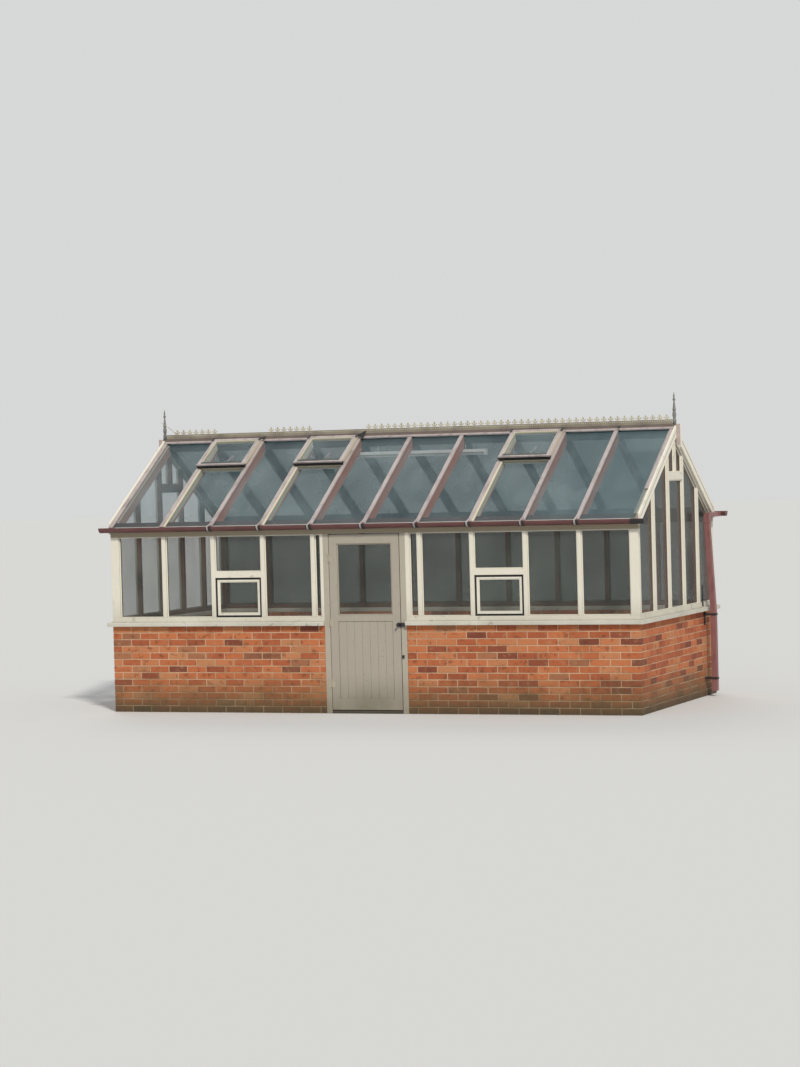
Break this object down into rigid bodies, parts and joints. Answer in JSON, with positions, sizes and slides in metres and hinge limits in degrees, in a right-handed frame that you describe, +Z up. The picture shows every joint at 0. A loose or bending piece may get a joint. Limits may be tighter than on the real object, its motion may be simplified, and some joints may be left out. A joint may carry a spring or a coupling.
{
  "type": "glass greenhouse",
  "caption": "Long timber-framed glass greenhouse on a low brick wall, with a pitched glazed roof, roof and wall vents, ridge cresting, gutters and a hinged door that opens outwards.",
  "frame": {"origin": "middle of the bounding box in plan, on the ground the brick walls stand on", "axes": "+X along the front to the right as seen from outside the door, +Y from the front to the back, +Z up; the door is in the front at -Y"},
  "size_m": [6.434, 3.124, 3.388],
  "materials": {
    "brick": "rough red brick, mossy below",
    "cream_paint": "weathered cream paint",
    "stained_wood": "red-brown stain",
    "pane": "clear, hazy on the roof",
    "cap_strip": "dull pinkish grey",
    "ridge_paint": "dull grey-beige",
    "gutter_paint": "satin plum brown",
    "black_iron": "black paint",
    "hinge_paint": "painted as the door",
    "seal": "matt black",
    "door_paint": "aged grey-beige paint",
    "threshold_wood": "dark, worn",
    "lamp_white": "matt white"
  },
  "bodies": {
    "house": {"brick_front_left": "brick", "brick_front_right": "brick", "brick_back": "brick", "brick_left": "brick", "brick_right": "brick", "sill_boards": "cream_paint", "bottom_rails": "cream_paint", "corner_posts": "cream_paint", "wall_posts": "cream_paint", "gable_posts": "cream_paint", "gable_rails": "cream_paint", "side_vent_transoms": "cream_paint", "side_vent_sashes": "cream_paint", "roof_vent_frames": "cream_paint", "bargeboards": "cream_paint", "drop_posts": "cream_paint", "side_light_studs": "cream_paint", "roof_vent_curbs": "cream_paint", "eaves_beams": "stained_wood", "rafters": "stained_wood", "ridge_board": "stained_wood", "wall_glass": "pane", "gable_glass": "pane", "side_vent_glass": "pane", "roof_glass": "pane", "roof_vent_glass": "pane", "bar_caps": "cap_strip", "ridge_capping": "ridge_paint", "cresting": "ridge_paint", "finials": "ridge_paint", "front_gutter": "gutter_paint", "back_gutter": "gutter_paint", "gutter_outlet": "gutter_paint", "downpipe": "gutter_paint", "gutter_brackets": "black_iron", "pipe_clips": "black_iron", "jamb_keeper": "black_iron", "jamb_hinges": "hinge_paint", "side_vent_seals": "seal", "door_jambs": "door_paint", "threshold": "threshold_wood", "lamp_batten": "lamp_white", "lamp_tube": "lamp_white"},
    "door": {"door_leaf": "door_paint", "door_glass": "pane", "door_panel": "door_paint", "leaf_hinges": "hinge_paint", "door_latch": "black_iron"}
  },
  "joints": [
    {"name": "door_hinge", "type": "hinge", "parent": "house", "child": "door", "pos_m": [-0.4305, -1.457, 0.985], "axis": [0, 0, -1], "range_deg": [0, 100]}
  ]
}
